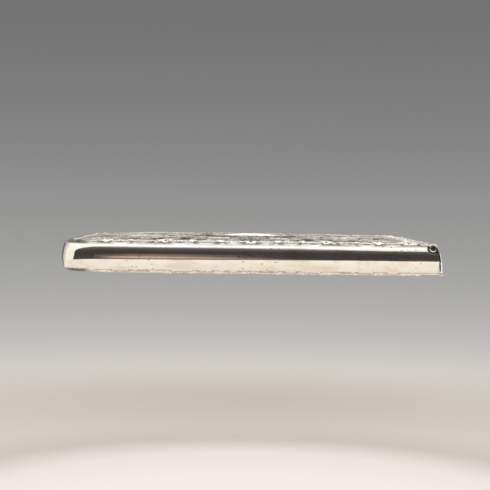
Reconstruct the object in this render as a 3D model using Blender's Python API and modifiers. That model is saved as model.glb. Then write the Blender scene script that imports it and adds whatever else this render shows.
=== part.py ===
"""A polished silver case for visiting cards, with a hinged lid over one short end.

Metres, +Z up. The case lies on its back. X runs along its length, the closed end at -X and the lid
at +X. The origin is under the middle of the case's box, on the surface it lies on.
"""

import math

import bmesh
import bpy
from mathutils import Matrix, Vector

# Outside of the case
OVERALL_LENGTH = 0.1002  # closed end to the outside of the thumb lip
CASE_WIDTH = 0.074
SIDE_HALF_HEIGHT = 0.0039  # middle of the side up to the edge of a face
SIDE_RADIUS = 0.0075  # the gentle round of the side, seen in section
EDGE_RADIUS = 0.0016  # the tighter round from side to face
FACE_SLOPE = math.radians(5.5)  # tilt of a face where it leaves that round
CORNER_RADIUS = 0.0095  # closed end, seen from above
FACE_CROWN = 0.00105  # rise of a face from its edge to its fullest place
CROWN_PEAK_SHARE = 0.375  # of the way from closed end to mouth, where the face is fullest
CROWN_LENGTH_POWER = 2.8  # above 2 the crown is flat in the middle and falls away near the ends
CROWN_WIDTH_POWER = 3.2
SHELL_WALL = 0.00045
SEAM_GAP = 0.0003  # between the two halves, along the middle of the side

# Struck relief: a raised field with a plain oval cartouche standing on it
FIELD_RISE = 0.00025
FIELD_STEP = 0.0006  # width of the slope that bounds the field
FIELD_SIDE_MARGIN = 0.0008  # plain metal between the face's long edge and that slope
FIELD_END_MARGIN = 0.0062  # the same at the closed end, from the outermost metal
FIELD_MOUTH_MARGIN = 0.0003  # the same before the hinge groove
CARTOUCHE_RISE = 0.00015  # above the fullest place of the field
CARTOUCHE_HALF_LENGTH = 0.0080  # along X
CARTOUCHE_HALF_WIDTH = 0.0105  # along Y
CARTOUCHE_BEVEL = 0.00012
CARTOUCHE_ROOT = 0.0003  # how deep its foot is let into the shell's wall

# Mouth, cut on a slant so that it reaches furthest at the back
MOUTH_SLANT = math.radians(6.5)
MOUTH_AHEAD = 0.00124  # mouth past the hinge axis, measured at the axis's height
CLOSED_GAP = 0.00015  # mouth to lid, with the lid shut

# Hinge
HINGE_HEIGHT = 0.00305  # axis above the middle of the side
KNUCKLE_RADIUS = 0.00115
KNUCKLE_BORE_RADIUS = 0.00065
PIN_CLEARANCE = 0.00008
PIN_RECESS = 0.0005
HINGE_END_INSET = 0.0009  # outermost side to the end of the outer tube
KNUCKLE_COUNT = 7  # the lid's and the body's take turns, and the lid's are outermost
KNUCKLE_GAP = 0.0002
BEARER_GAP = 0.0003  # tube to bearer, so that the lid's tubes turn freely
BEARER_WALL = 0.00035
BEARER_FOOT_ANGLE = math.radians(225.0)  # where it ends under the tubes
SEAT_GAP = 0.0002  # between pieces that are soldered together

# Lid
LID_THICKNESS = 0.0005
LID_TOP_BELOW_AXIS = 0.0006
LID_TAPER_LENGTH = 0.0019  # the outer face leans in to the tubes over this height
LID_TOP_SHARE = 0.6  # of the thickness that is left at the top edge
LIP_RADIUS = 0.0003
LIP_DROP = 0.00027  # lip below the body's lower edge
LIP_BULGE = 0.00015  # lip past the lid's outer face
LIP_END_INSET = 0.0014  # outermost side to the end of the lip
LIP_END_ROUND = 0.00018

# Strips inside the mouth
BEZEL_WALL = 0.0003
BEZEL_DEPTH = 0.003
BEZEL_RECESS = 0.0001  # behind the mouth
FLANGE_WALL = 0.0003
FLANGE_DEPTH = 0.0018
FLANGE_CLEARANCE = 0.0002  # bezel to flange

# Fineness of the round shapes
SIDE_STEPS = 3
EDGE_STEPS = 4
CORNER_STEPS = 7
LENGTH_CUTS = 18
WIDTH_CUTS = 14
TUBE_SIDES = 24
OVAL_SIDES = 40
BEARER_STEPS = 8
LID_TAPER_STEPS = 4

# Places that follow from the sizes above
OUTER_REACH = 0.0015  # how far cutters stand past what they cut
# Middle of the side above the surface it lies on
REST_HEIGHT = SIDE_HALF_HEIGHT + FACE_CROWN + FIELD_RISE + CARTOUCHE_RISE
EDGE_END_ANGLE = math.pi / 2 - FACE_SLOPE
SIDE_END_ANGLE = math.asin(
    (SIDE_HALF_HEIGHT - EDGE_RADIUS * math.sin(EDGE_END_ANGLE)) / (SIDE_RADIUS - EDGE_RADIUS)
)
EDGE_CENTRE_INSET = SIDE_RADIUS - (SIDE_RADIUS - EDGE_RADIUS) * math.cos(SIDE_END_ANGLE)
EDGE_CENTRE_HEIGHT = (SIDE_RADIUS - EDGE_RADIUS) * math.sin(SIDE_END_ANGLE)
LIP_BELOW_AXIS = HINGE_HEIGHT + SIDE_HALF_HEIGHT + LIP_DROP - LIP_RADIUS
BEARER_INNER = KNUCKLE_RADIUS + BEARER_GAP
BEARER_OUTER = BEARER_INNER + BEARER_WALL
GROOVE_RADIUS = BEARER_OUTER + SEAT_GAP
HINGE_HALF_LENGTH = CASE_WIDTH / 2 - HINGE_END_INSET
BEZEL_INSET = SHELL_WALL + SEAT_GAP
FLANGE_INSET = BEZEL_INSET + BEZEL_WALL + FLANGE_CLEARANCE
STRIP_TOP = HINGE_HEIGHT - GROOVE_RADIUS  # the strips' ends stay under the bearer

# Finish
SILVER = (0.93, 0.91, 0.87)
POLISHED_ROUGHNESS = 0.12
DRAWN_ROUGHNESS = 0.3  # the pin, left as it was drawn
INNER_ROUGHNESS = 0.25  # strips inside the mouth and behind the tubes
SMOOTH_UP_TO = math.radians(35.0)


def mouth_ahead_of_axis(below_axis):
    """How far past the hinge axis the mouth lies, at a height this far below the axis."""
    return MOUTH_AHEAD + math.tan(MOUTH_SLANT) * below_axis


def lid_inner_ahead(below_axis):
    """How far past the hinge axis the shut lid's inner face lies."""
    return mouth_ahead_of_axis(below_axis) + CLOSED_GAP


LIP_AHEAD = lid_inner_ahead(LIP_BELOW_AXIS) + LID_THICKNESS + LIP_BULGE - LIP_RADIUS
CLOSED_END = -OVERALL_LENGTH / 2
HINGE_X = OVERALL_LENGTH / 2 - LIP_RADIUS - LIP_AHEAD
MOUTH_AT_FACE = HINGE_X + mouth_ahead_of_axis(HINGE_HEIGHT - SIDE_HALF_HEIGHT)
GROOVE_REACH = math.sqrt(GROOVE_RADIUS**2 - (SIDE_HALF_HEIGHT - HINGE_HEIGHT) ** 2)
FIELD_START = CLOSED_END + FIELD_END_MARGIN
FIELD_END = HINGE_X - GROOVE_REACH - FIELD_MOUTH_MARGIN


def section_point(angle, inset=0.0):
    """A point of the side's section where its tangent has turned by this angle from upright.

    Returns its distance in from the outermost side and its height above the middle of the side,
    for a line that lies parallel to the outside, inset by the given amount.
    """
    if angle <= SIDE_END_ANGLE:
        radius = SIDE_RADIUS - inset
        return SIDE_RADIUS - radius * math.cos(angle), radius * math.sin(angle)
    radius = EDGE_RADIUS - inset
    return (
        EDGE_CENTRE_INSET - radius * math.cos(angle),
        EDGE_CENTRE_HEIGHT + radius * math.sin(angle),
    )


def section_angle(height, inset=0.0):
    """The turn of the section's tangent at this height above or below the middle of the side."""
    height = abs(height)
    side = SIDE_RADIUS - inset
    if height <= side * math.sin(SIDE_END_ANGLE):
        return math.asin(height / side)
    rise = (height - EDGE_CENTRE_HEIGHT) / (EDGE_RADIUS - inset)
    return min(math.asin(min(rise, 1.0)), EDGE_END_ANGLE)


def half_width_at(height, inset=0.0):
    return CASE_WIDTH / 2 - section_point(section_angle(height, inset), inset)[0]


FACE_EDGE_INSET = section_point(EDGE_END_ANGLE)[0]
FIELD_HALF_WIDTH = CASE_WIDTH / 2 - FACE_EDGE_INSET - FIELD_SIDE_MARGIN


def steps(first, last, count):
    """The values from first to last in this many equal steps, without the first."""
    return [first + (last - first) * (i + 1) / count for i in range(count)]


def remove_everything():
    for obj in list(bpy.data.objects):
        bpy.data.objects.remove(obj, do_unlink=True)


def collection(name):
    made = bpy.data.collections.new(name)
    bpy.context.scene.collection.children.link(made)
    return made


def metal(name, colour, roughness):
    material = bpy.data.materials.new(name)
    material.use_nodes = True
    shader = material.node_tree.nodes["Principled BSDF"]
    shader.inputs["Base Color"].default_value = (*colour, 1.0)
    shader.inputs["Metallic"].default_value = 1.0
    shader.inputs["Roughness"].default_value = roughness
    return material


def add_piece(name, bm, home, roughness=POLISHED_ROUGHNESS):
    """Turns a bmesh into a named piece with a material of its own."""
    mesh = bpy.data.meshes.new(name)
    bm.to_mesh(mesh)
    bm.free()
    piece = bpy.data.objects.new(name, mesh)
    home.objects.link(piece)
    mesh.materials.append(metal(name + "_silver", SILVER, roughness))
    mesh.shade_smooth()
    mesh.set_sharp_from_angle(angle=SMOOTH_UP_TO)
    return piece


def add_cutter(name, bm, home):
    mesh = bpy.data.meshes.new(name)
    bm.to_mesh(mesh)
    bm.free()
    cutter = bpy.data.objects.new(name, mesh)
    home.objects.link(cutter)
    cutter.hide_render = True
    cutter.display_type = "WIRE"
    return cutter


def combine(piece, tool, operation):
    modifier = piece.modifiers.new(tool.name, "BOOLEAN")
    modifier.operation = operation
    modifier.object = tool


def thicken_inwards(piece, wall):
    modifier = piece.modifiers.new("wall", "SOLIDIFY")
    modifier.thickness = wall
    modifier.offset = -1.0
    modifier.use_even_offset = True


# Half shells


def crown_share(x, y):
    """How much of the face's crown is reached here: 0 along its edges, 1 at its fullest place."""
    start = CLOSED_END + FACE_EDGE_INSET
    peak = start + CROWN_PEAK_SHARE * (MOUTH_AT_FACE - start)
    end = start if x < peak else MOUTH_AT_FACE
    along = min((x - peak) / (end - peak), 1.0)
    across = min(abs(y) / (CASE_WIDTH / 2 - FACE_EDGE_INSET), 1.0)
    return (1 - along**CROWN_LENGTH_POWER) * (1 - across**CROWN_WIDTH_POWER)


def field_share(x, y):
    """How much of the field's rise is reached here: 1 on the field, 0 past the slope round it."""
    inside = min(x - FIELD_START, FIELD_END - x, FIELD_HALF_WIDTH - abs(y))
    return max(0.0, min(inside / FIELD_STEP, 1.0))


def cut_across(bm, place, direction):
    bmesh.ops.bisect_plane(
        bm,
        geom=bm.verts[:] + bm.edges[:] + bm.faces[:],
        dist=1e-7,
        plane_co=place,
        plane_no=direction,
    )


def half_shell_surface():
    """The outside of the upper half as an open surface, running on past the mouth.

    A flat outline with two rounded corners is inset and raised along the side's section. The face
    left in its middle is then split, its field is raised, and it is crowned.
    """
    start_angle = section_angle(SEAM_GAP / 2)
    inset, height = section_point(start_angle)
    past_mouth = MOUTH_AT_FACE + SIDE_HALF_HEIGHT + OUTER_REACH
    length = past_mouth - CLOSED_END - 2 * inset
    bm = bmesh.new()
    bmesh.ops.create_grid(
        bm,
        x_segments=1,
        y_segments=1,
        size=0.5,
        matrix=Matrix.Translation((CLOSED_END + inset + length / 2, 0, height))
        @ Matrix.Diagonal((length, CASE_WIDTH - 2 * inset, 1, 1)),
    )
    corners = [v for v in bm.verts if v.co.x < 0]
    bmesh.ops.bevel(
        bm,
        geom=corners,
        offset=CORNER_RADIUS,
        offset_type="OFFSET",
        segments=CORNER_STEPS,
        profile=0.5,
        affect="VERTICES",
        material=-1,
    )
    face = max(bm.faces, key=lambda f: f.calc_area())
    angles = steps(start_angle, SIDE_END_ANGLE, SIDE_STEPS)
    angles += steps(SIDE_END_ANGLE, EDGE_END_ANGLE, EDGE_STEPS)
    for angle in angles:
        next_inset, next_height = section_point(angle)
        bmesh.ops.inset_region(
            bm,
            faces=[face],
            thickness=next_inset - inset,
            depth=next_height - height,
            use_boundary=True,
            use_even_offset=True,
        )
        inset, height = next_inset, next_height

    field_lines = (FIELD_START, FIELD_START + FIELD_STEP, FIELD_END - FIELD_STEP, FIELD_END)
    inner_lines = steps(field_lines[1], field_lines[2], LENGTH_CUTS)[:-1]
    for x in (*field_lines, *inner_lines):
        cut_across(bm, (x, 0, 0), (1, 0, 0))
    plateau = FIELD_HALF_WIDTH - FIELD_STEP
    inner_lines = steps(-plateau, plateau, WIDTH_CUTS)[:-1]
    for y in (-FIELD_HALF_WIDTH, -plateau, plateau, FIELD_HALF_WIDTH, *inner_lines):
        cut_across(bm, (0, y, 0), (0, 1, 0))
    for v in bm.verts:
        if v.co.z > SIDE_HALF_HEIGHT - 1e-7:
            v.co.z += FACE_CROWN * crown_share(v.co.x, v.co.y)
            v.co.z += FIELD_RISE * field_share(v.co.x, v.co.y)
    bmesh.ops.triangulate(bm, faces=bm.faces)
    return bm


def cartouche(side):
    """The plain oval that stands on the field, its flat face the highest part of the shell."""
    lowest_share = min(
        crown_share(CARTOUCHE_HALF_LENGTH, 0),
        crown_share(0, CARTOUCHE_HALF_WIDTH),
    )
    foot = SIDE_HALF_HEIGHT + FACE_CROWN * lowest_share + FIELD_RISE - CARTOUCHE_ROOT
    depth = REST_HEIGHT - foot
    bm = bmesh.new()
    made = bmesh.ops.create_cone(
        bm,
        cap_ends=True,
        segments=OVAL_SIDES,
        radius1=1.0,
        radius2=1.0,
        depth=depth,
        matrix=Matrix.Translation((0, 0, side * (REST_HEIGHT - depth / 2)))
        @ Matrix.Diagonal((CARTOUCHE_HALF_LENGTH, CARTOUCHE_HALF_WIDTH, 1, 1)),
    )
    rim = [
        e
        for e in {e for v in made["verts"] for e in v.link_edges}
        if all(side * v.co.z > REST_HEIGHT - depth / 2 for v in e.verts)
    ]
    bmesh.ops.bevel(
        bm,
        geom=rim,
        offset=CARTOUCHE_BEVEL,
        offset_type="OFFSET",
        segments=2,
        profile=0.5,
        affect="EDGES",
        material=-1,
    )
    return bm


def mouth_cutter(home):
    """Takes away everything past the slanted mouth."""
    reach = OVERALL_LENGTH
    bm = bmesh.new()
    bmesh.ops.create_cube(
        bm,
        size=1.0,
        matrix=Matrix.Translation((HINGE_X + MOUTH_AHEAD, 0, HINGE_HEIGHT))
        @ Matrix.Rotation(-MOUTH_SLANT, 4, "Y")
        @ Matrix.Translation((reach / 2, 0, 0))
        @ Matrix.Diagonal((reach, CASE_WIDTH + 2 * OUTER_REACH, reach, 1)),
    )
    return add_cutter("mouth_cut", bm, home)


def groove_cutter(home):
    """Opens the channel that the hinge bearer lies in."""
    bm = bmesh.new()
    bmesh.ops.create_cone(
        bm,
        cap_ends=True,
        segments=2 * TUBE_SIDES,
        radius1=GROOVE_RADIUS,
        radius2=GROOVE_RADIUS,
        depth=CASE_WIDTH + 2 * OUTER_REACH,
        matrix=Matrix.Translation((HINGE_X, 0, HINGE_HEIGHT)) @ Matrix.Rotation(math.pi / 2, 4, "X"),
    )
    return add_cutter("groove_cut", bm, home)


def half_shell(name, side, home, cutters, mouth_cut):
    bm = half_shell_surface()
    if side < 0:
        bmesh.ops.scale(bm, vec=(1, 1, -1), verts=bm.verts)
        bmesh.ops.reverse_faces(bm, faces=bm.faces)
    shell = add_piece(name, bm, home)
    thicken_inwards(shell, SHELL_WALL)
    combine(shell, mouth_cut, "DIFFERENCE")
    oval = add_cutter(name + "_cartouche", cartouche(side), cutters)
    combine(shell, oval, "UNION")
    return shell


# Strips inside the mouth


def mouth_strip(name, inset, wall, front, depth, home):
    """A thin strip that follows the mouth's lower edge and both of its sides.

    front gives the strip's front edge at a height above the middle of the side.
    """
    top_angle = math.copysign(section_angle(STRIP_TOP, inset), STRIP_TOP)
    angles = [top_angle]
    angles += steps(top_angle, -SIDE_END_ANGLE, SIDE_STEPS + 1)
    angles += steps(-SIDE_END_ANGLE, -EDGE_END_ANGLE, EDGE_STEPS + 1)
    near_side = []
    for angle in angles:
        side_inset, height = section_point(abs(angle), inset)
        near_side.append((side_inset - CASE_WIDTH / 2, math.copysign(height, angle)))
    far_side = [(-y, z) for y, z in reversed(near_side)]
    bm = bmesh.new()
    line = [bm.verts.new((front(z), y, z)) for y, z in near_side + far_side]
    edges = [bm.edges.new(pair) for pair in zip(line, line[1:])]
    made = bmesh.ops.extrude_edge_only(bm, edges=edges)
    back = [v for v in made["geom"] if isinstance(v, bmesh.types.BMVert)]
    bmesh.ops.translate(bm, vec=(-depth, 0, 0), verts=back)
    bm.normal_update()
    lowest = min(bm.faces, key=lambda f: f.calc_center_median().z)
    if lowest.normal.z > 0:
        bmesh.ops.reverse_faces(bm, faces=bm.faces)
    strip = add_piece(name, bm, home, INNER_ROUGHNESS)
    thicken_inwards(strip, wall)
    return strip


def mouth_x(height):
    return HINGE_X + mouth_ahead_of_axis(HINGE_HEIGHT - height)


# Hinge


def tube(name, length, home):
    """A knuckle, turned about its own axis, which lies along Y."""
    bm = bmesh.new()
    corners = [
        bm.verts.new((KNUCKLE_RADIUS, 0, length / 2)),
        bm.verts.new((KNUCKLE_RADIUS, 0, -length / 2)),
        bm.verts.new((KNUCKLE_BORE_RADIUS, 0, -length / 2)),
        bm.verts.new((KNUCKLE_BORE_RADIUS, 0, length / 2)),
    ]
    for start, end in zip(corners, corners[1:] + corners[:1]):
        bm.edges.new((start, end))
    knuckle = add_piece(name, bm, home)
    knuckle.rotation_euler = (-math.pi / 2, 0, 0)
    turn = knuckle.modifiers.new("turn", "SCREW")
    turn.steps = TUBE_SIDES
    turn.render_steps = TUBE_SIDES
    turn.use_merge_vertices = True
    turn.merge_threshold = 1e-6
    turn.use_smooth_shade = True
    return knuckle


def hinge(home, lid_axis):
    pitch = (2 * HINGE_HALF_LENGTH + KNUCKLE_GAP) / KNUCKLE_COUNT
    length = pitch - KNUCKLE_GAP
    for i in range(KNUCKLE_COUNT):
        y = -HINGE_HALF_LENGTH + length / 2 + i * pitch
        on_lid = i % 2 == 0
        name = f"lid_knuckle_{i // 2 + 1}" if on_lid else f"body_knuckle_{i // 2 + 1}"
        knuckle = tube(name, length, home)
        if on_lid:
            knuckle.parent = lid_axis
            knuckle.location = (0, y, 0)
        else:
            knuckle.location = (HINGE_X, y, REST_HEIGHT + HINGE_HEIGHT)


def hinge_pin(home):
    radius = KNUCKLE_BORE_RADIUS - PIN_CLEARANCE
    bm = bmesh.new()
    bmesh.ops.create_cone(
        bm,
        cap_ends=True,
        segments=TUBE_SIDES,
        radius1=radius,
        radius2=radius,
        depth=2 * (HINGE_HALF_LENGTH - PIN_RECESS),
    )
    pin = add_piece("hinge_pin", bm, home, DRAWN_ROUGHNESS)
    pin.rotation_euler = (-math.pi / 2, 0, 0)
    pin.location = (HINGE_X, 0, REST_HEIGHT + HINGE_HEIGHT)


def hinge_bearer(home):
    """The hollow strip that backs the tubes, swept from under the face's edge round behind them."""
    middle = (BEARER_INNER + BEARER_OUTER) / 2
    head_angle = math.pi - math.asin((SIDE_HALF_HEIGHT - HINGE_HEIGHT) / middle)
    bm = bmesh.new()
    bmesh.ops.create_grid(
        bm,
        x_segments=1,
        y_segments=1,
        size=0.5,
        matrix=Matrix.Rotation(-head_angle, 4, "Y")
        @ Matrix.Translation((middle, 0, 0))
        @ Matrix.Diagonal((BEARER_WALL, 2 * HINGE_HALF_LENGTH, 1, 1)),
    )
    bmesh.ops.spin(
        bm,
        geom=bm.verts[:] + bm.edges[:],
        cent=(0, 0, 0),
        axis=(0, -1, 0),
        angle=BEARER_FOOT_ANGLE - head_angle,
        steps=BEARER_STEPS,
        use_duplicate=False,
    )
    bmesh.ops.holes_fill(bm, edges=bm.edges, sides=4)
    bmesh.ops.recalc_face_normals(bm, faces=bm.faces)
    bearer = add_piece("hinge_bearer", bm, home, INNER_ROUGHNESS)
    bearer.location = (HINGE_X, 0, REST_HEIGHT + HINGE_HEIGHT)


# Lid, built about the hinge axis


def lid_plate(home, lid_axis):
    """A plate as wide as the side's section at each height, thinner where it leans in to the tubes."""
    bottom = LIP_BELOW_AXIS - LIP_RADIUS - SEAT_GAP
    taper_end = LID_TOP_BELOW_AXIS + LID_TAPER_LENGTH
    depths = [LID_TOP_BELOW_AXIS]
    depths += steps(LID_TOP_BELOW_AXIS, taper_end, LID_TAPER_STEPS)
    depths += steps(taper_end, bottom, 2 * LID_TAPER_STEPS)
    bm = bmesh.new()
    rung = None
    for below in depths:
        grown = min((below - LID_TOP_BELOW_AXIS) / LID_TAPER_LENGTH, 1.0)
        share = LID_TOP_SHARE + (1 - LID_TOP_SHARE) * math.sin(grown * math.pi / 2)
        inner = Vector((lid_inner_ahead(below), 0, -below))
        outer = inner + Vector((LID_THICKNESS * share, 0, 0))
        if rung is None:
            rung = bm.edges.new((bm.verts.new(inner), bm.verts.new(outer)))
            continue
        last_inner = rung.verts[0].co.copy()
        last_outer = rung.verts[1].co.copy()
        made = bmesh.ops.extrude_edge_only(bm, edges=[rung])["geom"]
        rung = next(e for e in made if isinstance(e, bmesh.types.BMEdge))
        inside, outside = sorted(rung.verts, key=lambda v: (v.co - last_inner).length)
        inside.co += inner - last_inner
        outside.co += outer - last_outer
        if rung.verts[0] is not inside:
            rung = bm.edges.get((inside, outside))
    near = bm.faces[:]
    made = bmesh.ops.extrude_face_region(bm, geom=near, use_keep_orig=True)["geom"]
    far = {v for v in made if isinstance(v, bmesh.types.BMVert)}
    for v in bm.verts:
        half_width = half_width_at(v.co.z + HINGE_HEIGHT)
        v.co.y = half_width if v in far else -half_width
    bmesh.ops.recalc_face_normals(bm, faces=bm.faces)
    plate = add_piece("lid_plate", bm, home)
    plate.parent = lid_axis


def thumb_lip(home, lid_axis):
    """The wire along the lid's free edge, with rounded ends."""
    half_length = CASE_WIDTH / 2 - LIP_END_INSET
    bm = bmesh.new()
    bmesh.ops.create_cone(
        bm,
        cap_ends=True,
        segments=TUBE_SIDES // 2,
        radius1=LIP_RADIUS,
        radius2=LIP_RADIUS,
        depth=2 * half_length,
    )
    ends = [e for e in bm.edges if abs(e.verts[0].co.z - e.verts[1].co.z) < LIP_RADIUS]
    bmesh.ops.bevel(
        bm,
        geom=ends,
        offset=min(LIP_END_ROUND, 0.9 * LIP_RADIUS),
        offset_type="OFFSET",
        segments=2,
        profile=0.5,
        affect="EDGES",
        material=-1,
    )
    lip = add_piece("thumb_lip", bm, home)
    lip.parent = lid_axis
    lip.rotation_euler = (-math.pi / 2, 0, 0)
    lip.location = (LIP_AHEAD, 0, -LIP_BELOW_AXIS)


def lid_flange(home, lid_axis):
    def front(height):
        return HINGE_X + lid_inner_ahead(HINGE_HEIGHT - height) - SEAT_GAP

    flange = mouth_strip("lid_flange", FLANGE_INSET, FLANGE_WALL, front, FLANGE_DEPTH, home)
    flange.data.transform(Matrix.Translation((-HINGE_X, 0, -HINGE_HEIGHT)))
    flange.parent = lid_axis


def main():
    remove_everything()
    case = collection("card_case")
    cutters = collection("cutters")

    lid_axis = bpy.data.objects.new("lid_axis", None)
    case.objects.link(lid_axis)
    lid_axis.location = (HINGE_X, 0, REST_HEIGHT + HINGE_HEIGHT)

    mouth_cut = mouth_cutter(cutters)
    groove_cut = groove_cutter(cutters)
    front = half_shell("front_shell", 1, case, cutters, mouth_cut)
    combine(front, groove_cut, "DIFFERENCE")
    back = half_shell("back_shell", -1, case, cutters, mouth_cut)
    bezel = mouth_strip(
        "mouth_bezel", BEZEL_INSET, BEZEL_WALL, lambda z: mouth_x(z) - BEZEL_RECESS, BEZEL_DEPTH, case
    )
    for piece in (front, back, bezel, *cutters.objects):
        piece.location.z = REST_HEIGHT

    hinge_bearer(case)
    hinge(case, lid_axis)
    hinge_pin(case)
    lid_plate(case, lid_axis)
    thumb_lip(case, lid_axis)
    lid_flange(case, lid_axis)


main()
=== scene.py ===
"""A silver case for visiting cards, lying on its back with its hinged lid at the right."""

import math

import bmesh
import bpy
import numpy as np
from mathutils import Matrix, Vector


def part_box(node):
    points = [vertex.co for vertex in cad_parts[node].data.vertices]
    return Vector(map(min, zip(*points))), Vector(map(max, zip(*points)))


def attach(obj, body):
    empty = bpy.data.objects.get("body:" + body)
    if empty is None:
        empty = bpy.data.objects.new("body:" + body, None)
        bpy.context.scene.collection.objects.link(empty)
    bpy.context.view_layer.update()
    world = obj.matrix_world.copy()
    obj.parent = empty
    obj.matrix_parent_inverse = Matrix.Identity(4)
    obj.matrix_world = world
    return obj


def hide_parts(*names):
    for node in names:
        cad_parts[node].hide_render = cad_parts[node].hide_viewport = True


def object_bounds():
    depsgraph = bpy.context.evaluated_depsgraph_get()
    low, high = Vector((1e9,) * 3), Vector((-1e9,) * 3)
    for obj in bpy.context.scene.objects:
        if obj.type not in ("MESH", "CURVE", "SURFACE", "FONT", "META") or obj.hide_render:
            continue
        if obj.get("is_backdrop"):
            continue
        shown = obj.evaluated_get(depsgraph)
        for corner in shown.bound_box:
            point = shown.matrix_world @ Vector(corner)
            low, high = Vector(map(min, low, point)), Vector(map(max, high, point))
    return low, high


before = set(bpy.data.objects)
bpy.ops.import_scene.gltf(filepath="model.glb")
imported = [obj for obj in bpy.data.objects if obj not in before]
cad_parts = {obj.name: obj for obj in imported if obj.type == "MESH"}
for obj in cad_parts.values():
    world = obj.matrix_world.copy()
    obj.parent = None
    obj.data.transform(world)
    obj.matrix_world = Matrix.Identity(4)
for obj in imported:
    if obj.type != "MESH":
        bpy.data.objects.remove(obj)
cad_low, cad_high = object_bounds()

# Half shells
# The front and back of the case are struck from thin silver sheet, each with half of the plain side.
# The two are soldered along the middle of the side. Scrolls, leaves and flowers stand in low relief
# round a plain oval on each face, and polishing has left tarnish in hollows and closed corners.

MM = 0.001
MIDDLE = cad_high.z / 2
HALF_WIDTH = cad_high.y
CLOSED_END = cad_low.x
SIDE_HALF_HEIGHT = 0.0039
SIDE_RADIUS = 0.0075
EDGE_RADIUS = 0.0016
FACE_SLOPE = math.radians(5.5)
CORNER_RADIUS = 0.0095
FACE_CROWN = 0.00105
CROWN_PEAK_SHARE = 0.375
CROWN_LENGTH_POWER = 2.8
CROWN_WIDTH_POWER = 3.2
SHELL_WALL = 0.00055

pin_low, pin_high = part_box("hinge_pin")
HINGE_X = (pin_low.x + pin_high.x) / 2
HINGE_Z = (pin_low.z + pin_high.z) / 2
MOUTH_SLANT = math.radians(6.5)
MOUTH_AHEAD = 0.00124
GROOVE_RADIUS = 0.00167

EDGE_END_ANGLE = math.pi / 2 - FACE_SLOPE
SIDE_END_ANGLE = math.asin(
    (SIDE_HALF_HEIGHT - EDGE_RADIUS * math.sin(EDGE_END_ANGLE)) / (SIDE_RADIUS - EDGE_RADIUS)
)
EDGE_CENTRE_INSET = SIDE_RADIUS - (SIDE_RADIUS - EDGE_RADIUS) * math.cos(SIDE_END_ANGLE)
EDGE_CENTRE_HEIGHT = (SIDE_RADIUS - EDGE_RADIUS) * math.sin(SIDE_END_ANGLE)
FACE_EDGE_INSET = EDGE_CENTRE_INSET - EDGE_RADIUS * math.cos(EDGE_END_ANGLE)
SIDE_ARC = SIDE_RADIUS * SIDE_END_ANGLE
SECTION_ARC = SIDE_ARC + EDGE_RADIUS * (EDGE_END_ANGLE - SIDE_END_ANGLE)
CORNER_SQUARE = SECTION_ARC + CORNER_RADIUS - FACE_EDGE_INSET


def mouth_x(height):
    """Where the slanted mouth lies at a height above the middle of the side."""
    return HINGE_X + MOUTH_AHEAD + math.tan(MOUTH_SLANT) * (HINGE_Z - MIDDLE - height)


MOUTH_AT_FACE = mouth_x(SIDE_HALF_HEIGHT)
FACE_START = CLOSED_END + FACE_EDGE_INSET
FACE_HALF_WIDTH = HALF_WIDTH - FACE_EDGE_INSET


def along_section(distance, wall):
    """Inset and height of the metal at a distance up the side's section, and on over the face.

    wall moves the point inwards, square to the surface.
    """
    on_side = np.minimum(distance, SIDE_ARC) / SIDE_RADIUS
    on_edge = np.clip(distance - SIDE_ARC, 0, SECTION_ARC - SIDE_ARC) / EDGE_RADIUS
    angle = on_side + on_edge
    beyond = np.maximum(distance - SECTION_ARC, 0)
    side = distance <= SIDE_ARC
    radius = np.where(side, SIDE_RADIUS, EDGE_RADIUS) - wall
    centre_inset = np.where(side, SIDE_RADIUS, EDGE_CENTRE_INSET)
    centre_height = np.where(side, 0.0, EDGE_CENTRE_HEIGHT)
    inset = centre_inset - radius * np.cos(angle) + beyond
    return inset, centre_height + radius * np.sin(angle)


def skin_points(x_lines, y_lines, wall):
    """Points of a half shell's skin on a grid of lines, and their places with the sides unrolled.

    x_lines are distances from the closed end's seam. y_lines are distances from the nearer long
    seam, negative on the near side. At the two rounded corners the square grid closes into arcs.
    """
    across, along = np.meshgrid(y_lines, x_lines, indexing="ij")
    from_side = np.abs(across)
    end_inset, end_height = along_section(along, wall)
    side_inset, side_height = along_section(from_side, wall)
    x = CLOSED_END + end_inset
    y = HALF_WIDTH - side_inset
    z = np.minimum(end_height, side_height)
    flat_x = FACE_START - SECTION_ARC + along
    flat_y = FACE_HALF_WIDTH + SECTION_ARC - from_side

    a = CORNER_SQUARE - along
    b = CORNER_SQUARE - from_side
    corner = (a > 0) & (b > 0)
    a, b = np.where(corner, a, 1.0), np.where(corner, b, 1.0)
    turn = np.where(a >= b, b / a, 2 - a / b) * math.pi / 4
    reach = np.maximum(a, b)
    inset, height = along_section(CORNER_SQUARE - reach, wall)
    radius = CORNER_RADIUS - inset
    centre_x, centre_y = CLOSED_END + CORNER_RADIUS, HALF_WIDTH - CORNER_RADIUS
    x = np.where(corner, centre_x - radius * np.cos(turn), x)
    y = np.where(corner, centre_y + radius * np.sin(turn), y)
    z = np.where(corner, height, z)
    on_face = (along >= SECTION_ARC) & (from_side >= SECTION_ARC)
    z = z + np.where(on_face, crown(flat_x, flat_y), 0)
    flat_x = np.where(corner, centre_x - reach * np.cos(turn), flat_x)
    flat_y = np.where(corner, centre_y + reach * np.sin(turn), flat_y)

    stretch = (mouth_x(np.minimum(z, SIDE_HALF_HEIGHT)) - centre_x) / (MOUTH_AT_FACE - centre_x)
    x = np.where(x > centre_x, centre_x + (x - centre_x) * stretch, x)
    points = np.stack([x, np.where(across < 0, -y, y), z], axis=-1)
    return points, flat_x, np.where(across < 0, -flat_y, flat_y)


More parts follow.
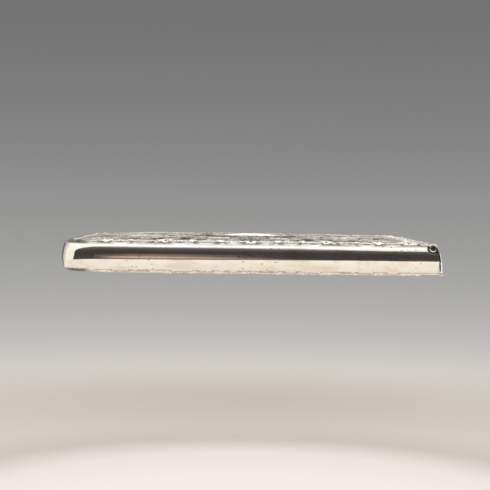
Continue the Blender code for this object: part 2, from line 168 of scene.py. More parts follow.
def crown(flat_x, flat_y):
    """Rise of the face above its edge: fullest nearer the closed end, and flat across the middle."""
    peak = FACE_START + CROWN_PEAK_SHARE * (MOUTH_AT_FACE - FACE_START)
    reach = np.where(flat_x < peak, FACE_START - peak, MOUTH_AT_FACE - peak)
    length_share = np.clip((flat_x - peak) / reach, 0, 1) ** CROWN_LENGTH_POWER
    width_share = np.clip(np.abs(flat_y) / FACE_HALF_WIDTH, 0, 1) ** CROWN_WIDTH_POWER
    return FACE_CROWN * (1 - length_share) * (1 - width_share)


# Ornament, in millimetres on one quarter of the face: u runs from the oval towards an end of the
# case and v towards a long side, and the same quarter serves both ends and both sides. At its outer
# edge the work spills down over the rounded edge of the face, so v is measured along the metal.
FIELD_LENGTH = 44.2
FIELD_WIDTH = 33.8
FIELD_CORNER = 7.8
CLOSED_REACH = FACE_START - 0.0019
MOUTH_REACH = HINGE_X - 0.0030
SIDE_REACH = FACE_HALF_WIDTH + 0.00125
GROUND = -0.00026
STROKE_RISE = 1.3
OVAL_LENGTH = 8.0
OVAL_WIDTH = 10.5
OVAL_DOME = 0.00042
OVAL_EDGE_DROP = 0.00016
OVAL_BLEND = 0.04  # width of the step round the dome, as a share of the oval
OVAL_SURROUND = 1.1  # as far as this share of the oval the ground is pressed flat
DRAWING_CELL = 0.15


def round_top(u):
    return np.sqrt(1 - np.minimum(u, 1) ** 2)


def fluted(u):
    """A strap's section: two soft ridges with a hollow between them."""
    hollow = 0.5 + 0.5 * (np.minimum(u, 0.55) / 0.55) ** 2
    ridge = np.sqrt(1 - np.clip((u - 0.55) / 0.45, 0, 1) ** 2)
    return np.where(u < 0.55, hollow, ridge)


def pointing(degrees):
    """The unit step in a direction on the drawing."""
    return np.array([math.cos(math.radians(degrees)), math.sin(math.radians(degrees))])


def bent_line(start, heading, length, curl, curl_end=None, points=14):
    """Points and headings along a line that leaves start and bends; angles in degrees, per mm."""
    curl_end = curl if curl_end is None else curl_end
    t = np.linspace(0, 1, points)
    turn = heading + length * (curl * t + (curl_end - curl) * t**2 / 2)
    middle = np.radians((turn[1:] + turn[:-1]) / 2)
    step = length / (points - 1)
    x = start[0] + np.concatenate([[0], np.cumsum(np.cos(middle) * step)])
    y = start[1] + np.concatenate([[0], np.cumsum(np.sin(middle) * step)])
    return np.column_stack([x, y]), turn


class Quarter:
    """Heights of the ornament on one quarter of the face, drawn as raised strokes on a fine grid."""

    def __init__(self):
        self.u = np.arange(-1.0, FIELD_LENGTH + 3.0, DRAWING_CELL)
        self.v = np.arange(-1.0, FIELD_WIDTH + 3.0, DRAWING_CELL)
        self.height = np.zeros((len(self.v), len(self.u)))
        self.cover = np.zeros_like(self.height)

    def read(self, grid, u, v):
        """What a grid of the drawing holds at any places, read between its points."""
        column = np.clip((u - self.u[0]) / DRAWING_CELL, 0, len(self.u) - 1.001)
        row = np.clip((v - self.v[0]) / DRAWING_CELL, 0, len(self.v) - 1.001)
        i, j = row.astype(int), column.astype(int)
        s, t = row - i, column - j
        upper = grid[i, j] * (1 - t) + grid[i, j + 1] * t
        lower = grid[i + 1, j] * (1 - t) + grid[i + 1, j + 1] * t
        return upper * (1 - s) + lower * s

    def window(self, low, high):
        """The part of the grid between two corners."""
        first_u, last_u = np.searchsorted(self.u, (low[0], high[0]))
        first_v, last_v = np.searchsorted(self.v, (low[1], high[1]))
        return slice(first_v, last_v), slice(first_u, last_u)

    def stroke(self, line, half_width, height, section=round_top):
        """A ridge along a line, whose width and height change along it."""
        half_width = np.broadcast_to(half_width, len(line)).astype(float)
        height = np.broadcast_to(height, len(line)).astype(float)
        reach = half_width.max()
        rows, columns = self.window(line.min(0) - reach, line.max(0) + reach)
        v, u = self.v[rows, None, None], self.u[None, columns, None]
        if not v.size or not u.size:
            return
        run_u, run_v = np.diff(line[:, 0]), np.diff(line[:, 1])
        share = (u - line[:-1, 0]) * run_u + (v - line[:-1, 1]) * run_v
        share = np.clip(share / (run_u**2 + run_v**2), 0, 1)
        gap = np.hypot(u - line[:-1, 0] - share * run_u, v - line[:-1, 1] - share * run_v)
        gap = gap / (half_width[:-1] + share * np.diff(half_width))
        nearest = gap.argmin(axis=2)[..., None]
        gap = np.take_along_axis(gap, nearest, 2)[..., 0]
        rise = np.take_along_axis(height[:-1] + share * np.diff(height), nearest, 2)[..., 0]
        raised = np.where(gap < 1, rise * section(gap), 0)
        self.height[rows, columns] = np.maximum(self.height[rows, columns], raised)

    def bead(self, centre, radius, height):
        self.stroke(np.array([centre, (centre[0] + 0.01, centre[1])]), radius, height)

    def ground(self, centre, along, half_length, depth):
        """Sunk ground under one scallop of the border, an ellipse with its long axis along the edge."""
        reach = max(half_length, depth)
        rows, columns = self.window(np.array(centre) - reach, np.array(centre) + reach)
        gap_u = self.u[None, columns] - centre[0]
        gap_v = self.v[rows, None] - centre[1]
        on = gap_u * along[0] + gap_v * along[1]
        off = gap_v * along[0] - gap_u * along[1]
        share = np.hypot(on / half_length, off / depth)
        inside = 0.6 * np.clip((1 - share) / 0.4, 0, 1)
        self.cover[rows, columns] = np.maximum(self.cover[rows, columns], inside)

    def leaf(self, start, heading, length, width, curl=0.0, lobes=5, height=0.34):
        """An acanthus leaf: lobes spring from both sides of a midrib and lean to the tip."""
        line, turn = bent_line(start, heading, length, curl, points=18)
        last = len(line) - 1
        t = np.linspace(0, 1, len(line))
        self.stroke(line, 0.5 - 0.28 * t, height * (1.1 - 0.25 * t))
        spacing = length / (lobes + 1)
        for i in range(lobes):
            share = (i + 0.55) / (lobes + 0.6)
            at = round(share * last)
            reach = width * math.sin(math.pi * (0.22 + 0.66 * share)) ** 0.9
            lean = 66 - 34 * share
            for hand in (-1, 1):
                lobe, _ = bent_line(line[at], turn[at] + hand * lean, reach, -hand * 42 / reach, points=7)
                s = np.linspace(0, 1, len(lobe))
                wide = spacing * 0.5 * np.sin(math.pi * (0.24 + 0.68 * s)) ** 0.8
                self.stroke(lobe, wide, height * (0.95 - 0.25 * s))

    def flower(self, centre, radius, petals, height=0.4, turn=0.0):
        """Round petals about a bead, each hollowed down its middle."""
        for i in range(petals):
            heading = turn + 360 * i / petals
            petal, _ = bent_line(centre, heading, radius * 0.74, 0, points=8)
            s = np.linspace(0, 1, len(petal))
            wide = radius * math.sin(math.pi / petals) * (0.3 + 0.68 * s**0.8)
            self.stroke(petal[2:], wide[2:], height * (0.62 + 0.38 * s[2:]), fluted)
        self.bead(centre, radius * 0.3, height * 1.1)

    def scroll(self, centre, radius, start, turns, hand, eye, width=0.95, height=0.4):
        """A fluted strap that winds in from its outer end to the eye."""
        t = np.linspace(0, 1, round(30 * turns))
        angle = np.radians(start + hand * 360 * turns * t)
        reach = eye + (radius - eye) * (1 - t) ** 0.9
        line = np.column_stack([centre[0] + reach * np.cos(angle), centre[1] + reach * np.sin(angle)])
        self.stroke(line, width * (1 - 0.4 * t), height * (1 - 0.1 * t), fluted)

    def outer_leaves(self, centre, radius, angles, hand, spread, length, width, curl, lobes=4, height=0.34):
        """Leaves that spring from the outside of a scroll and first follow the way that it winds."""
        for angle in angles:
            start = np.array(centre) + radius * pointing(angle)
            self.leaf(start, angle + hand * (90 - spread), length, width, curl, lobes, height)


def edge_place(distance):
    """A place on the field's outline, counted from the middle of a long side, and its normal's angle."""
    straight = FIELD_LENGTH - FIELD_CORNER
    arc = math.pi * FIELD_CORNER / 2
    if distance < straight:
        return np.array((distance, FIELD_WIDTH)), 90.0
    if distance < straight + arc:
        normal = 90 - math.degrees((distance - straight) / FIELD_CORNER)
        return np.array((straight, FIELD_WIDTH - FIELD_CORNER)) + FIELD_CORNER * pointing(normal), normal
    return np.array((FIELD_LENGTH, FIELD_WIDTH - FIELD_CORNER - (distance - straight - arc))), 0.0


BORDER_SCROLLS = 11  # on one quarter of the outline
BORDER_DEPTH = 2.4


def border(quarter):
    """C-scrolls round the field, each with a shell in it, and leaves of uneven size between them."""
    length = FIELD_LENGTH + FIELD_WIDTH - 2 * FIELD_CORNER + math.pi * FIELD_CORNER / 2
    pitch = length / BORDER_SCROLLS
    for i in range(BORDER_SCROLLS):
        uneven = math.sin(2.4 * i + 0.6)
        place, normal = edge_place((i + 0.5 + 0.14 * uneven) * pitch)
        out = pointing(normal)
        along = np.array([out[1], -out[0]])
        centre = place - out * (BORDER_DEPTH + 0.35 * (1 + uneven))
        half_length = pitch * (0.42 + 0.06 * uneven)
        quarter.ground(centre, along, half_length * 1.2, BORDER_DEPTH * 1.1)
        t = np.radians(np.linspace(-24, 204, 16))
        bow = np.outer(np.cos(t) * half_length, along) + np.outer(np.sin(t) * BORDER_DEPTH * 0.8, out)
        bow += centre
        quarter.stroke(bow, 0.62, np.linspace(0.38, 0.28, 16), fluted)
        quarter.bead(bow[0], 0.9, 0.42)
        quarter.bead(bow[-1], 0.7, 0.36)
        for lean in (-52, -18, 16, 50):
            lobe, _ = bent_line(centre - out * 0.5, normal + lean, 1.9 + 0.3 * uneven, 3, points=5)
            quarter.stroke(lobe, 0.25 + 0.3 * np.linspace(0, 1, len(lobe)), 0.32)
        gap, normal = edge_place(min((i + 1.02 + 0.1 * uneven) * pitch, length - 1e-6))
        out = pointing(normal)
        quarter.leaf(gap - out * 3.0, normal + 24 * uneven, 2.6 + 0.5 * uneven, 1.0, 8 * uneven, 3, 0.26)
        for lean in (-34, 28):
            quarter.leaf(gap - out * 2.6, normal + 180 + lean + 10 * uneven, 3.3, 1.2, 0, 3, 0.32)


def oval_frame(quarter, scale_u, scale_v):
    """A fluted rim round the oval, with short leaves standing out from it like rays."""

    def beside_oval(angle, gap):
        return (OVAL_LENGTH + gap) * np.cos(angle) / scale_u, (OVAL_WIDTH + gap) * np.sin(angle) / scale_v

    rim = np.column_stack(beside_oval(np.radians(np.linspace(-10, 100, 40)), 1.1))
    quarter.stroke(rim, 0.85, 0.4, fluted)
    for angle in range(0, 91, 15):
        a = math.radians(angle)
        heading = math.degrees(math.atan2(math.sin(a) / OVAL_WIDTH, math.cos(a) / OVAL_LENGTH))
        quarter.leaf(beside_oval(a, 1.5), heading, 2.9, 1.2, 0, 3, 0.34)


def foliage(quarter, petals):
    """Three scrolls that grow from a leaf at the end of the case, with leaves in the gaps."""
    big, top, corner = (25.6, 14.6), (7.4, 22.8), (35.6, 24.6)
    quarter.leaf((39.5, 0), 180, 13.0, 3.6, 0, 7, 0.38)
    quarter.leaf((11.6, 0), 0, 9.5, 3.2, 0, 5, 0.34)
    stem, _ = bent_line((39.0, 1.5), 172, 15.0, -0.4, -6.2)
    quarter.stroke(stem, 0.85, 0.38, fluted)
    quarter.outer_leaves(big, 9.6, (262,), -1, 38, 6.0, 1.9, 5)
    quarter.outer_leaves(big, 9.6, (222, 186, 150, 112, 74, 36, 4, -32), -1, 41, 6.3, 2.0, -8)
    quarter.outer_leaves(big, 5.2, (235, 180, 125, 70, 15, -40), -1, 30, 3.6, 1.1, -10, 3, 0.3)
    quarter.scroll(big, 9.4, 236, 1.45, -1, 3.9)
    quarter.flower(big, 3.7, petals)
    quarter.outer_leaves(top, 5.4, (-38, 10, 62, 118, 172), 1, 41, 5.0, 1.65, 9)
    quarter.scroll(top, 5.3, -42, 1.4, 1, 2.3, 0.8, 0.38)
    quarter.flower(top, 2.2, 5, 0.4)
    quarter.outer_leaves(corner, 4.3, (215, 268, 320, 24, 88, 140), 1, 40, 4.2, 1.4, 9, 3)
    quarter.scroll(corner, 4.3, 205, 1.35, 1, 2.0, 0.75, 0.38)
    quarter.flower(corner, 1.9, 5, 0.4)
    quarter.leaf((12.6, 7.6), 40, 6.6, 2.2, 6)
    quarter.leaf((14.2, 3.0), 14, 5.6, 1.7, -9, 4)
    quarter.leaf((16.8, 20.6), 243, 6.6, 2.0, 6)
    quarter.leaf((1.0, 16.4), 62, 4.6, 1.6, -9, 4)
    quarter.leaf((20.6, 31.0), 196, 6.0, 1.8, -4)
    quarter.flower((18.6, 27.0), 1.7, 5, 0.36, 20)
    quarter.flower((38.8, 12.6), 1.5, 5, 0.36, 50)


def softened(heights, times):
    """Heights blurred a little, again and again, over neighbouring points."""
    for _ in range(times):
        wide = np.pad(heights, 1, mode="edge")
        heights = (wide[:-2, 1:-1] + wide[2:, 1:-1] + wide[1:-1, :-2] + wide[1:-1, 2:] + 2 * heights) / 6
    return heights


def drawn_work(flat_x, flat_y):
    """Heights of the drawn work over the whole face, in millimetres, and where its ground is sunk."""
    height = np.zeros(flat_x.shape)
    cover = np.zeros(flat_x.shape)
    for end, petals, reach in ((1, 8, MOUTH_REACH), (-1, 6, -CLOSED_REACH)):
        scale_u = reach / MM / FIELD_LENGTH
        scale_v = SIDE_REACH / MM / FIELD_WIDTH
        quarter = Quarter()
        foliage(quarter, petals)
        border(quarter)
        oval_frame(quarter, scale_u, scale_v)
        if end > 0:
            moulding = np.array([(FIELD_LENGTH - 0.6, -1.0), (FIELD_LENGTH - 0.6, FIELD_WIDTH - 1.5)])
            quarter.stroke(moulding, 0.6, 0.32)
        here = flat_x * end >= 0
        u = np.abs(flat_x[here]) / MM / scale_u
        v = np.abs(flat_y[here]) / MM / scale_v
        height[here] = quarter.read(quarter.height, u, v)
        within_u = FIELD_LENGTH - BORDER_DEPTH - u
        within_v = FIELD_WIDTH - BORDER_DEPTH - v
        rounding = FIELD_CORNER - BORDER_DEPTH
        into = np.hypot(np.minimum(within_u - rounding, 0), np.minimum(within_v - rounding, 0))
        inner = np.clip(rounding - into, 0, 1) * (within_u > 0) * (within_v > 0)
        cover[here] = np.maximum(inner, quarter.read(quarter.cover, u, v))
    return height, cover


EDGE_FULLNESS = 0.25  # how much higher the work stands at the face's edge than on its crown
SPILL = 0.0012  # how far past the edge of the face the work still stands
SPILL_LEAST = 0.4  # of its height, and up to all of it over the next stretch
SPILL_RUN = 0.0025
CLOSED_WEAR = 0.35  # lost from the height beyond this place towards the closed end
CLOSED_WEAR_PLACE = -0.034
CLOSED_WEAR_RUN = 0.006
SOFTENINGS = 8
HOLLOW_DEPTH = 0.00006  # below the softened surface, where a hollow holds most tarnish
LOW_DEPTH = 0.00017  # step in height over which the low places lose it
LOW_TOP = 2.85  # in such steps above the ground, where it ends
HOLLOW_TARNISH = 0.75
LOW_TARNISH = 0.9
HINGE_TARNISH = 0.7
HINGE_TARNISH_RUN = 0.0003
CORNER_TARNISH = 0.95
CORNER_MATTING = 0.6
CORNER_REACH = 0.0015  # to either side of the edge of the face
CORNER_FADE = 0.0004
CORNER_START = 0.001  # from where the corner's round begins
CORNER_RUN = 0.002


def closed_corner(flat_x, flat_y):
    """Where the edge of the face turns the corners at the closed end, which a polishing cloth misses."""
    beside_x = np.maximum(CLOSED_END + CORNER_RADIUS - flat_x, 0)
    beside_y = np.maximum(np.abs(flat_y) - HALF_WIDTH + CORNER_RADIUS, 0)
    past_face = np.hypot(beside_x, beside_y) - CORNER_RADIUS + FACE_EDGE_INSET
    near_edge = np.clip((CORNER_REACH - np.abs(past_face)) / CORNER_FADE, 0, 1)
    return near_edge * np.clip((beside_x - CORNER_START) / CORNER_RUN, 0, 1)


def ornament(flat_x, flat_y):
    """How far the struck work stands above the plain metal, its tarnish, and how worked it is."""
    height, cover = drawn_work(flat_x, flat_y)
    raised = GROUND * cover + STROKE_RISE * height * MM
    into_spill = np.minimum(FACE_HALF_WIDTH - np.abs(flat_y), flat_x - FACE_START) + SPILL
    fullness = 1 + EDGE_FULLNESS * (1 - crown(flat_x, flat_y) / FACE_CROWN)
    fullness *= np.clip(SPILL_LEAST + (1 - SPILL_LEAST) * into_spill / SPILL_RUN, SPILL_LEAST, 1)
    fullness *= 1 - CLOSED_WEAR * np.clip((CLOSED_WEAR_PLACE - flat_x) / CLOSED_WEAR_RUN, 0, 1)
    lift = raised * fullness

    hollow = np.clip((softened(lift, SOFTENINGS) - lift) / HOLLOW_DEPTH, 0, 1)
    low = np.clip(LOW_TOP - (raised - GROUND) / LOW_DEPTH, 0, 1)
    tarnish = np.clip(HOLLOW_TARNISH * hollow + LOW_TARNISH * low, 0, 1) * np.minimum(1.6 * cover, 1)
    by_hinge = np.clip((flat_x - MOUTH_REACH) / HINGE_TARNISH_RUN, 0, 1) * (np.abs(flat_y) < FACE_HALF_WIDTH)
    at_corner = closed_corner(flat_x, flat_y)
    tarnish = np.maximum(tarnish, CORNER_TARNISH * at_corner)
    return lift, np.maximum(tarnish, HINGE_TARNISH * by_hinge), np.maximum(cover, CORNER_MATTING * at_corner)


RELIEF_CELL = 0.0003
SIDE_CELL = SIDE_ARC / 10
EDGE_CELL = (SECTION_ARC - SIDE_ARC) / 6
SEAM_CELL = SIDE_ARC / 80  # keeps the metal upright where the two halves meet


def section_lines(face_length):
    """Grid lines from a seam up the side and round its edge, and on over the face."""
    lines = [0.0]
    for end, spacing in (
        (SEAM_CELL, SEAM_CELL),
        (SIDE_ARC, SIDE_CELL),
        (SECTION_ARC, EDGE_CELL),
        (face_length + SECTION_ARC, RELIEF_CELL),
    ):
        count = max(1, round((end - lines[-1]) / spacing))
        lines += list(np.linspace(lines[-1], end, count + 1)[1:])
    return np.array(lines)


x_lines = section_lines(MOUTH_AT_FACE - FACE_START)
half_lines = section_lines(FACE_HALF_WIDTH)
y_lines = np.concatenate([-half_lines, half_lines[-2::-1]])
y_lines[0] = -1e-12  # the near seam, told from the far one by its sign
_, flat_x, flat_y = skin_points(x_lines, y_lines, 0.0)
lift, hollow, struck = ornament(flat_x, flat_y)
oval = np.hypot(flat_x / MM / OVAL_LENGTH, flat_y / MM / OVAL_WIDTH)
in_oval = np.clip((1 + OVAL_BLEND - oval) / OVAL_BLEND, 0, 1)
hollow *= 1 - in_oval
struck *= 1 - in_oval


def struck_points(share):
    """The skin's points, with the relief at a share of its height round the domed oval."""
    points, _, _ = skin_points(x_lines, y_lines, -lift * share)
    sunk = skin_points(x_lines, y_lines, -(GROUND + OVAL_EDGE_DROP))[0][..., 2]
    dome = MIDDLE - OVAL_DOME * np.minimum(oval, 1) ** 2
    z = np.where(oval < OVAL_SURROUND, np.minimum(points[..., 2], sunk), points[..., 2])
    points[..., 2] = z * (1 - in_oval) + dome * in_oval
    return points


BACK_WEAR = 0.85  # what lying on tables has left of the back's relief
INNER_STEP = 9  # of the skin's lines to one of the inner wall's, on the face
round_lines = int(np.searchsorted(x_lines, SECTION_ARC + 1e-9))


def coarse(lines):
    """Every second line up to the edge of the face, then every few, and always the last."""
    return sorted({*range(0, round_lines, 2), *range(round_lines, len(lines), INNER_STEP), len(lines) - 1})


inner_x = coarse(x_lines)
half = coarse(half_lines)
inner_y = sorted({*half, *(len(y_lines) - 1 - i for i in half)})
inner_points, _, _ = skin_points(x_lines[inner_x], y_lines[inner_y], SHELL_WALL)


def grid_of(bm, points):
    """A sheet of quads through a grid of points."""
    rows, columns = points.shape[:2]
    made = bmesh.ops.create_grid(bm, x_segments=columns - 1, y_segments=rows - 1, size=0.5)
    for v, place in zip(made["verts"], points.reshape(-1, 3)):
        v.co = place
    return np.array(made["verts"], dtype=object).reshape(rows, columns)


def rim_between(bm, outer, inner, outer_at):
    """Closes the gap between a fine edge and the coarse edge behind it."""
    for k in range(len(inner) - 1):
        fine = list(outer[outer_at[k] : outer_at[k + 1] + 1])
        bm.faces.new(fine + [inner[k + 1], inner[k]])


def half_shell(side):
    """Skin, inner wall and the rim that joins them, with the hollows kept for the finish."""
    bm = bmesh.new()
    hollow_layer = bm.verts.layers.float.new("hollow")
    struck_layer = bm.verts.layers.float.new("struck")
    outer = grid_of(bm, struck_points(1.0 if side > 0 else BACK_WEAR))
    for v, depth, share in zip(outer.ravel(), hollow.ravel(), struck.ravel()):
        v[hollow_layer] = depth
        v[struck_layer] = share
    skin = set(bm.faces)
    inner = grid_of(bm, inner_points)
    inside = [f for f in bm.faces if f not in skin]
    bmesh.ops.reverse_faces(bm, faces=inside)
    for f in inside:
        f.material_index = 1
    rim_between(bm, outer[0][::-1], inner[0][::-1], [len(x_lines) - 1 - i for i in inner_x[::-1]])
    rim_between(bm, outer[-1], inner[-1], inner_x)
    rim_between(bm, outer[:, 0], inner[:, 0], inner_y)
    rim_between(bm, outer[:, -1][::-1], inner[:, -1][::-1], [len(y_lines) - 1 - i for i in inner_y[::-1]])
    bmesh.ops.scale(bm, vec=(1, 1, side), verts=bm.verts)
    if side < 0:
        bmesh.ops.reverse_faces(bm, faces=bm.faces)
    bmesh.ops.translate(bm, vec=(0, 0, MIDDLE), verts=bm.verts)
    return bm


def finished(name, bm, materials=(), smooth_up_to=40):
    """Turns a bmesh into a piece with its materials, smooth up to an angle in degrees."""
    mesh = bpy.data.meshes.new(name)
    bm.to_mesh(mesh)
    bm.free()
    mesh.shade_smooth()
    mesh.set_sharp_from_angle(angle=math.radians(smooth_up_to))
    for material in materials:
        mesh.materials.append(material)
    piece = bpy.data.objects.new(name, mesh)
    bpy.context.scene.collection.objects.link(piece)
    return piece


def cut_away(piece, tool):
    """Cuts a tool out of a piece and removes the tool; the new edges are sharp."""
    modifier = piece.modifiers.new("cut", "BOOLEAN")
    modifier.operation = "DIFFERENCE"
    modifier.solver = "EXACT"
    modifier.object = tool
    bpy.context.view_layer.update()
    evaluated = piece.evaluated_get(bpy.context.evaluated_depsgraph_get())
    mesh = bpy.data.meshes.new_from_object(evaluated)
    piece.modifiers.clear()
    old = piece.data
    piece.data = mesh
    mesh.set_sharp_from_angle(angle=math.radians(60))
    bpy.data.meshes.remove(old)
    bpy.data.objects.remove(tool)


def rod(centre, radius, length, sides):
    """A closed round bar along Y."""
    bm = bmesh.new()
    bmesh.ops.create_cone(
        bm,
        cap_ends=True,
        segments=sides,
        radius1=radius,
        radius2=radius,
        depth=length,
        matrix=Matrix.Translation(centre) @ Matrix.Rotation(math.pi / 2, 4, "X"),
    )
    return bm


class Value:
    """An output in a shader tree. Arithmetic with it adds Math nodes to that tree."""

    def __init__(self, socket):
        self.socket = socket
        self.tree = socket.id_data

    def math(self, operation, *others):
        node = self.tree.nodes.new("ShaderNodeMath")
        node.operation = operation
        return wired(node, dict(enumerate((self, *others))))

    def __add__(self, other):
        return self.math("ADD", other)

    def __sub__(self, other):
        return self.math("SUBTRACT", other)

    def __mul__(self, other):
        return self.math("MULTIPLY", other)

    def __truediv__(self, other):
        return self.math("DIVIDE", other)


def feed(node, inputs):
    """Feeds a node's inputs with values of its tree, numbers, vectors or colours."""
    for name, value in inputs.items():
        socket = node.inputs[name]
        if isinstance(value, Value):
            value.tree.links.new(value.socket, socket)
        else:
            socket.default_value = (*value, 1) if socket.type == "RGBA" else value


def wired(node, inputs, output=0):
    """One output of a node whose inputs are fed first."""
    feed(node, inputs)
    return Value(node.outputs[output])


def node_group(name, inputs, outputs, output_type="NodeSocketFloat"):
    """An empty shader group, the values that it is given, and the node that takes its results."""
    group = bpy.data.node_groups.new(name, "ShaderNodeTree")
    for label in inputs:
        group.interface.new_socket(label, in_out="INPUT", socket_type="NodeSocketFloat")
    for label in outputs:
        group.interface.new_socket(label, in_out="OUTPUT", socket_type=output_type)
    given = group.nodes.new("NodeGroupInput").outputs
    return group, [Value(given[label]) for label in inputs], group.nodes.new("NodeGroupOutput")


def placed(tree, group, inputs):
    """What a shader group puts out in a tree, with its inputs given."""
    node = tree.nodes.new("ShaderNodeGroup")
    node.node_tree = group
    feed(node, inputs)
    return [Value(output) for output in node.outputs]


def ramp(value, low, high, interpolation="SMOOTHSTEP"):
    """0 below low, 1 above high and smooth between; low may be the larger."""
    node = value.tree.nodes.new("ShaderNodeMapRange")
    node.interpolation_type = interpolation
    return wired(node, {"Value": value, "From Min": low, "From Max": high})


def place_on(tree, turn=(0, 0, 0), scale=(1, 1, 1)):
    """The piece's own coordinates, turned and then scaled."""
    place = Value(tree.nodes.new("ShaderNodeTexCoord").outputs["Object"])
    return wired(tree.nodes.new("ShaderNodeMapping"), {"Vector": place, "Rotation": turn, "Scale": scale})


def noise(vector, scale, detail=2.0, roughness=0.5):
    node = vector.tree.nodes.new("ShaderNodeTexNoise")
    return wired(node, {"Vector": vector, "Scale": scale, "Detail": detail, "Roughness": roughness}, "Fac")


def cell_distance(vector, scale):
    """How far a place is from the nearest of many scattered dots."""
    node = vector.tree.nodes.new("ShaderNodeTexVoronoi")
    return wired(node, {"Vector": vector, "Scale": scale}, "Distance")


def attribute(tree, name):
    node = tree.nodes.new("ShaderNodeAttribute")
    node.attribute_name = name
    return Value(node.outputs["Fac"])


def mixed(share, a, b):
    """The colour at a share of the way from one colour to another."""
    tree = next(value.tree for value in (share, a, b) if isinstance(value, Value))
    node = tree.nodes.new("ShaderNodeMix")
    node.data_type = "RGBA"
    return wired(node, {0: share, 6: a, 7: b}, 2)


def bumped(height):
    """The normal that a height in metres gives."""
    return wired(height.tree.nodes.new("ShaderNodeBump"), {"Height": height, "Distance": 1.0}, "Normal")


def new_material(name):
    """A material, its tree and its shader node."""
    material = bpy.data.materials.new(name)
    material.use_nodes = True
    return material, material.node_tree, material.node_tree.nodes["Principled BSDF"]


HAIRLINES = (  # each set's turn, how far it is drawn out into lines, and its strength
    ((0, 0.02, 0.03), 60, 0.6),
    ((0.1, 0.3, 0.5), 90, 0.4),
    ((0, -0.25, -0.7), 75, 0.5),
)
HAIR_DEPTH = 2.0e-6
PIT_DEPTH = 2.5e-6
SWAY_HEIGHT = 3.0e-5


def handled_metal():
    """What use and polishing leave on silver: hairlines, knocks, pits and a slightly uneven surface.

    Puts out a height in metres, a share of extra roughness, and masks of the pits' tarnish and of a
    thin warm film.
    """
    group, (scratches, pits), result = node_group(
        "handled_metal", ("Scratches", "Pits"), ("Height", "Haze", "Tarnish", "Film")
    )
    hairs = None
    for turn, stretch, strength in HAIRLINES:
        field = noise(place_on(group, turn, (1, stretch, stretch)), 55.0, 3.0)
        line = ramp(field, 0.61, 0.69) * strength
        hairs = line if hairs is None else hairs.math("MAXIMUM", line)
    hairs = hairs * scratches

    plain = place_on(group)
    spread = noise(plain, 90.0)
    dots = cell_distance(place_on(group, (0.3, 0.1, 0.1), (0.4, 1, 1)), 1300.0)
    pit = ramp(dots, 0.24, 0.08) * ramp(spread, 0.50, 0.62) * pits
    sway = noise(plain, 130.0, 1.5)
    film = ramp(noise(place_on(group, scale=(0.4, 1, 1)), 420.0, 4.0, 0.6), 0.40, 0.66)
    height = sway * SWAY_HEIGHT + hairs * -HAIR_DEPTH + pit * -PIT_DEPTH
    feed(result, {"Height": height, "Haze": hairs * 0.5 + spread * 0.5, "Tarnish": pit, "Film": film})
    return group


HANDLED_METAL = handled_metal()
SILVER = (0.955, 0.930, 0.885)
FILMED_SILVER = (0.850, 0.790, 0.715)
TARNISH = (0.085, 0.064, 0.052)
POLISHED = 0.045
HAZE_ROUGHNESS = 0.09
PIT_STAIN = 0.75
HOLLOW_STAIN = 0.74  # at least, and so much more in patches
PATCH_STAIN = 0.24
STAIN_MATTING = 1.7  # how much faster than its colour the stained metal loses its shine
HOLLOW_ROUGHNESS = 0.22
WORKED_ROUGHNESS = 0.02
PUNCH_DEPTH = 4.5e-5
TOOLING_HEIGHT = 0.9e-5


def silver(name, scratches=1.0, pits=1.0, relief=False):
    """Polished silver. On struck work tarnish also lies in the hollows, whose ground is matted."""
    material, tree, shader = new_material(name)
    wear = {"Scratches": scratches, "Pits": pits}
    height, haze, tarnish, film = placed(tree, HANDLED_METAL, wear)
    dark = tarnish * PIT_STAIN
    rough = haze * HAZE_ROUGHNESS + POLISHED
    metallic = 1.0
    if relief:
        plain = place_on(tree)
        hollow = attribute(tree, "hollow")
        worked = attribute(tree, "struck")
        patches = ramp(noise(plain, 420.0, 4.0), 0.34, 0.6)
        stain = (patches * PATCH_STAIN + HOLLOW_STAIN) * hollow
        dark = dark.math("MAXIMUM", stain)
        metallic = (stain * STAIN_MATTING).math("MINIMUM", 1.0) * -1.0 + 1.0
        rough = rough + hollow * HOLLOW_ROUGHNESS + worked * WORKED_ROUGHNESS
        height = height + cell_distance(plain, 2600.0) * hollow * -PUNCH_DEPTH
        height = height + noise(plain, 1500.0) * worked * TOOLING_HEIGHT
    colour = mixed(dark, mixed(film, SILVER, FILMED_SILVER), TARNISH)
    feed(shader, {"Base Color": colour, "Metallic": metallic, "Roughness": rough, "Normal": bumped(height)})
    feed(shader, {"Specular IOR Level": 0.04})
    return material


def soldered_metal():
    """What soldering and pickling leave on silver: cloudy stains and a fine drawn grain.

    Puts out a mask of the stains, a roughness and a height in metres.
    """
    group, (roughness, grain), result = node_group(
        "soldered_metal", ("Roughness", "Grain"), ("Stain", "Roughness", "Height")
    )
    cloud = noise(place_on(group), 160.0, 4.0, 0.6)
    drawn = noise(place_on(group, scale=(0.2, 1, 1)), 2400.0)
    feed(result, {"Stain": ramp(cloud, 0.45, 0.75), "Roughness": cloud * 0.25 + roughness})
    feed(result, {"Height": drawn * grain})
    return group


SOLDERED_METAL = soldered_metal()
SATIN_ROUGHNESS = 0.2
GRAIN_HEIGHT = 4.0e-6


def satin_silver(name, clean, stained):
    """Silver as it comes from soldering and pickling, never polished, with darker stains."""
    material, tree, shader = new_material(name)
    surface = {"Roughness": SATIN_ROUGHNESS, "Grain": GRAIN_HEIGHT}
    stain, roughness, height = placed(tree, SOLDERED_METAL, surface)
    feed(shader, {"Base Color": mixed(stain, clean, stained), "Metallic": 0.6})
    feed(shader, {"Roughness": roughness, "Normal": bumped(height)})
    return material


